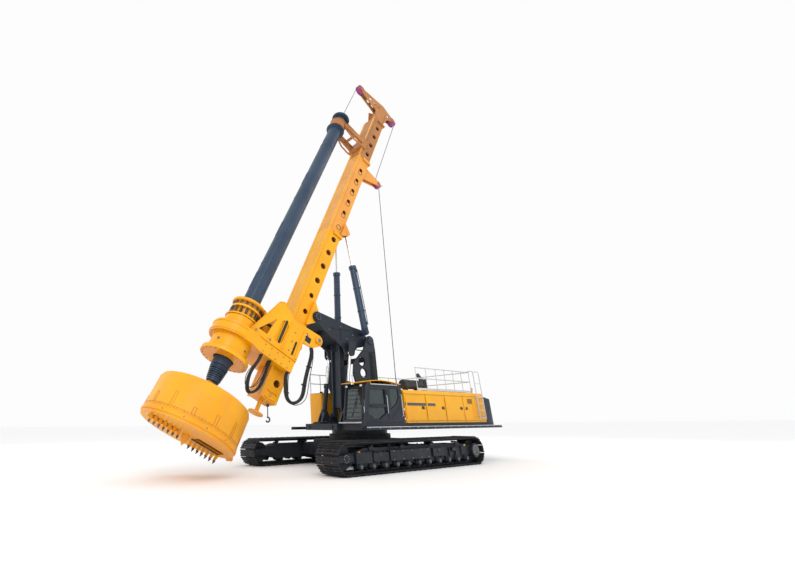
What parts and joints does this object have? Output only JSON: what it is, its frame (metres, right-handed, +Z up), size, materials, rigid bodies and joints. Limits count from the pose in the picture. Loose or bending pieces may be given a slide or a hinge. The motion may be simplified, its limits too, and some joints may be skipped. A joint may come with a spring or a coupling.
{
  "type": "rotary piling rig",
  "caption": "Crawler-mounted rotary piling rig: slewing cab and engine house, luffing boom, tilting mast, rotary drive, kelly bar and drilling bucket with opening floor.",
  "frame": {"origin": "on the ground plane under the middle of the machine's bounding box; the slewing axis stands at y = 1.10714", "axes": "+Z up; the machine's front faces -Y; +X is the machine's left, the cab's side; x = 0 is the middle plane"},
  "size_m": [5.98, 16.7142, 21.2795],
  "materials": {
    "auxiliary_hook": "matt",
    "auxiliary_sheave": "satin",
    "auxiliary_winch": "satin",
    "boom": "satin",
    "boom_cylinder_left": "satin",
    "boom_cylinder_right": "satin",
    "boom_cylinder_rod_left": "polished",
    "boom_cylinder_rod_right": "polished",
    "bucket": "satin",
    "bucket_floor": "satin",
    "cab_door": "satin",
    "cab_door_glass": "clear",
    "cab_quarter_glass": "clear",
    "cab_rear_glass": "clear",
    "cab_right_glass": "clear",
    "cab_roof_guard": "satin",
    "cab_shell": "satin",
    "cab_windscreen": "clear",
    "carbody": "satin",
    "control_console": "textured",
    "counterweight": "satin",
    "drive_carriage": "satin",
    "drive_gearbox": "satin",
    "drive_hoses_front": "matt",
    "drive_hoses_rear": "matt",
    "drive_sleeve": "satin",
    "engine_block": "rough",
    "engine_house": "satin",
    "exhaust": "matt",
    "front_link": "satin",
    "front_sheave": "satin",
    "handrails": "satin",
    "house_door_left_1": "satin",
    "house_door_left_2": "satin",
    "house_door_left_3": "satin",
    "house_door_left_4": "satin",
    "house_door_right_1": "satin",
    "house_door_right_2": "satin",
    "kelly_bar": "satin",
    "kelly_guide": "satin",
    "ladder": "satin",
    "main_winch": "satin",
    "mast_cylinder_left": "satin",
    "mast_cylinder_right": "satin",
    "mast_cylinder_rod_left": "polished",
    "mast_cylinder_rod_right": "polished",
    "mast_head": "satin",
    "mast_lower": "satin",
    "mast_support": "satin",
    "mast_upper": "satin",
    "operator_seat": "textured",
    "rear_sheave": "satin",
    "side_tank": "satin",
    "track_frame_left": "satin",
    "track_frame_right": "satin",
    "track_left": "worn",
    "track_right": "worn",
    "turntable": "satin"
  },
  "bodies": {
    "mast": {"auxiliary_hook": "auxiliary_hook", "mast_head": "mast_head", "mast_lower": "mast_lower", "mast_upper": "mast_upper"},
    "auxiliary_sheave": {"auxiliary_sheave": "auxiliary_sheave"},
    "auxiliary_winch": {"auxiliary_winch": "auxiliary_winch"},
    "boom": {"boom": "boom"},
    "boom_cylinder_left": {"boom_cylinder_left": "boom_cylinder_left"},
    "boom_cylinder_right": {"boom_cylinder_right": "boom_cylinder_right"},
    "boom_cylinder_rod_left": {"boom_cylinder_rod_left": "boom_cylinder_rod_left"},
    "boom_cylinder_rod_right": {"boom_cylinder_rod_right": "boom_cylinder_rod_right"},
    "kelly": {"bucket": "bucket", "kelly_bar": "kelly_bar"},
    "bucket_floor": {"bucket_floor": "bucket_floor"},
    "cab_door": {"cab_door": "cab_door", "cab_door_glass": "cab_door_glass"},
    "upper": {"cab_quarter_glass": "cab_quarter_glass", "cab_rear_glass": "cab_rear_glass", "cab_right_glass": "cab_right_glass", "cab_roof_guard": "cab_roof_guard", "cab_shell": "cab_shell", "cab_windscreen": "cab_windscreen", "control_console": "control_console", "counterweight": "counterweight", "engine_block": "engine_block", "engine_house": "engine_house", "exhaust": "exhaust", "handrails": "handrails", "ladder": "ladder", "operator_seat": "operator_seat", "side_tank": "side_tank", "turntable": "turntable"},
    "undercarriage": {"carbody": "carbody", "track_frame_left": "track_frame_left", "track_frame_right": "track_frame_right", "track_left": "track_left", "track_right": "track_right"},
    "carriage": {"drive_carriage": "drive_carriage", "drive_gearbox": "drive_gearbox", "drive_hoses_front": "drive_hoses_front", "drive_hoses_rear": "drive_hoses_rear"},
    "drive_sleeve": {"drive_sleeve": "drive_sleeve"},
    "front_link": {"front_link": "front_link"},
    "front_sheave": {"front_sheave": "front_sheave"},
    "house_door_left_1": {"house_door_left_1": "house_door_left_1"},
    "house_door_left_2": {"house_door_left_2": "house_door_left_2"},
    "house_door_left_3": {"house_door_left_3": "house_door_left_3"},
    "house_door_left_4": {"house_door_left_4": "house_door_left_4"},
    "house_door_right_1": {"house_door_right_1": "house_door_right_1"},
    "house_door_right_2": {"house_door_right_2": "house_door_right_2"},
    "kelly_guide": {"kelly_guide": "kelly_guide"},
    "main_winch": {"main_winch": "main_winch"},
    "mast_cylinder_left": {"mast_cylinder_left": "mast_cylinder_left"},
    "mast_cylinder_right": {"mast_cylinder_right": "mast_cylinder_right"},
    "mast_cylinder_rod_left": {"mast_cylinder_rod_left": "mast_cylinder_rod_left"},
    "mast_cylinder_rod_right": {"mast_cylinder_rod_right": "mast_cylinder_rod_right"},
    "mast_support": {"mast_support": "mast_support"},
    "rear_sheave": {"rear_sheave": "rear_sheave"}
  },
  "joints": [
    {"name": "slew", "type": "hinge", "parent": "undercarriage", "child": "upper", "pos_m": [0, 1.10714, 1.2], "axis": [0, 0, 1], "continuous": true},
    {"name": "cab_door_hinge", "type": "hinge", "parent": "upper", "child": "cab_door", "pos_m": [2.0743, 0.70714, 1.68], "axis": [0, 0, 1], "range_deg": [0, 95]},
    {"name": "house_door_left_1_hinge", "type": "hinge", "parent": "upper", "child": "house_door_left_1", "pos_m": [2.1043, 1.72714, 1.68], "axis": [0, 0, -1], "range_deg": [0, 95]},
    {"name": "house_door_left_2_hinge", "type": "hinge", "parent": "upper", "child": "house_door_left_2", "pos_m": [2.1043, 3.04714, 1.68], "axis": [0, 0, -1], "range_deg": [0, 95]},
    {"name": "house_door_left_3_hinge", "type": "hinge", "parent": "upper", "child": "house_door_left_3", "pos_m": [2.1043, 4.37714, 1.68], "axis": [0, 0, -1], "range_deg": [0, 95]},
    {"name": "house_door_left_4_hinge", "type": "hinge", "parent": "upper", "child": "house_door_left_4", "pos_m": [2.1043, 6.50714, 1.68], "axis": [0, 0, 1], "range_deg": [0, 95]},
    {"name": "house_door_right_1_hinge", "type": "hinge", "parent": "upper", "child": "house_door_right_1", "pos_m": [-2.1043, 1.72714, 1.68], "axis": [0, 0, 1], "range_deg": [0, 95]},
    {"name": "house_door_right_2_hinge", "type": "hinge", "parent": "upper", "child": "house_door_right_2", "pos_m": [-2.1043, 3.75714, 1.68], "axis": [0, 0, 1], "range_deg": [0, 95]},
    {"name": "main_winch_turn", "type": "hinge", "parent": "upper", "child": "main_winch", "pos_m": [0, 2.18714, 2.16], "axis": [1, 0, 0], "continuous": true},
    {"name": "auxiliary_winch_turn", "type": "hinge", "parent": "upper", "child": "auxiliary_winch", "pos_m": [0, 2.95714, 2.2], "axis": [1, 0, 0], "continuous": true},
    {"name": "boom_luff", "type": "hinge", "parent": "upper", "child": "boom", "pos_m": [0, 1.18714, 2.05], "axis": [1, 0, 0], "range_deg": [0, 25]},
    {"name": "support_level", "type": "hinge", "parent": "boom", "child": "mast_support", "pos_m": [0, 1.33714, 5], "axis": [1, 0, 0], "range_deg": [-25, 0]},
    {"name": "front_link_swing", "type": "hinge", "parent": "upper", "child": "front_link", "pos_m": [0, 0.00714, 1.91], "axis": [1, 0, 0], "range_deg": [0, 25]},
    {"name": "boom_cylinder_left_swing", "type": "hinge", "parent": "upper", "child": "boom_cylinder_left", "pos_m": [0.67, -0.24286, 1.95], "axis": [1, 0, 0], "range_deg": [0, 29.72]},
    {"name": "boom_cylinder_left_stroke", "type": "slide", "parent": "boom_cylinder_left", "child": "boom_cylinder_rod_left", "axis": [0, 0.1961, 0.9806], "range_m": [-0.13949, 0]},
    {"name": "boom_cylinder_right_swing", "type": "hinge", "parent": "upper", "child": "boom_cylinder_right", "pos_m": [-0.67, -0.24286, 1.95], "axis": [1, 0, 0], "range_deg": [0, 29.72]},
    {"name": "boom_cylinder_right_stroke", "type": "slide", "parent": "boom_cylinder_right", "child": "boom_cylinder_rod_right", "axis": [0, 0.1961, 0.9806], "range_m": [-0.13949, 0]},
    {"name": "mast_tilt", "type": "hinge", "parent": "mast_support", "child": "mast", "pos_m": [0, -1.36754, 5.82472], "axis": [1, 0, 0], "range_deg": [0, 27.3]},
    {"name": "mast_cylinder_left_swing", "type": "hinge", "parent": "mast_support", "child": "mast_cylinder_left", "pos_m": [0.87, 1.10714, 5.38], "axis": [0.9943, 0.0247, 0.1035], "range_deg": [0, 22.31]},
    {"name": "mast_cylinder_left_stroke", "type": "slide", "parent": "mast_cylinder_left", "child": "mast_cylinder_rod_left", "axis": [-0.1026, -0.0355, 0.9941], "range_m": [0, 1.08574]},
    {"name": "mast_cylinder_right_swing", "type": "hinge", "parent": "mast_support", "child": "mast_cylinder_right", "pos_m": [-0.87, 1.10714, 5.38], "axis": [0.9943, -0.0247, -0.1035], "range_deg": [0, 22.31]},
    {"name": "mast_cylinder_right_stroke", "type": "slide", "parent": "mast_cylinder_right", "child": "mast_cylinder_rod_right", "axis": [0.1026, -0.0355, 0.9941], "range_m": [0, 1.08574]},
    {"name": "front_sheave_turn", "type": "hinge", "parent": "mast", "child": "front_sheave", "pos_m": [0, 3.66131, 20.9533], "axis": [1, 0, 0], "continuous": true},
    {"name": "rear_sheave_turn", "type": "hinge", "parent": "mast", "child": "rear_sheave", "pos_m": [0, 6.23457, 19.68141], "axis": [1, 0, 0], "continuous": true},
    {"name": "auxiliary_sheave_turn", "type": "hinge", "parent": "mast", "child": "auxiliary_sheave", "pos_m": [0, 4.13567, 14.35028], "axis": [1, 0, 0], "continuous": true},
    {"name": "crowd", "type": "slide", "parent": "mast", "child": "carriage", "axis": [0, 0.4587, 0.8886], "range_m": [0, 3]},
    {"name": "kelly_hoist", "type": "slide", "parent": "mast", "child": "kelly_guide", "axis": [0, 0.4587, 0.8886], "range_m": [-7, 0.6]},
    {"name": "kelly_turn", "type": "hinge", "parent": "kelly_guide", "child": "kelly", "pos_m": [0, -6.19478, 2.57699], "axis": [0, 0.4587, 0.8886], "continuous": true},
    {"name": "drive_turn", "type": "hinge", "parent": "carriage", "child": "drive_sleeve", "pos_m": [0, -5.20868, 4.48752], "axis": [0, 0.4587, 0.8886], "continuous": true},
    {"name": "bucket_floor_hinge", "type": "hinge", "parent": "kelly", "child": "bucket_floor", "pos_m": [0, -5.2219, 0.49374], "axis": [1, 0, 0], "range_deg": [0, 70]}
  ],
  "couplings": [
    {"joint": "support_level", "follows": "boom_luff", "ratio": -1},
    {"joint": "front_link_swing", "follows": "boom_luff", "ratio": 1},
    {"joint": "boom_cylinder_left_swing", "follows": "boom_luff", "ratio": 1.1884},
    {"joint": "boom_cylinder_left_stroke", "follows": "boom_luff", "m_per_rad": -0.31923},
    {"joint": "boom_cylinder_right_swing", "follows": "boom_luff", "ratio": 1.1884},
    {"joint": "boom_cylinder_right_stroke", "follows": "boom_luff", "m_per_rad": -0.31923},
    {"joint": "mast_cylinder_left_swing", "follows": "mast_tilt", "ratio": 0.8169},
    {"joint": "mast_cylinder_left_stroke", "follows": "mast_tilt", "m_per_rad": 2.2776},
    {"joint": "mast_cylinder_right_swing", "follows": "mast_tilt", "ratio": 0.8169},
    {"joint": "mast_cylinder_right_stroke", "follows": "mast_tilt", "m_per_rad": 2.2776},
    {"joint": "drive_turn", "follows": "kelly_turn", "ratio": 1}
  ]
}
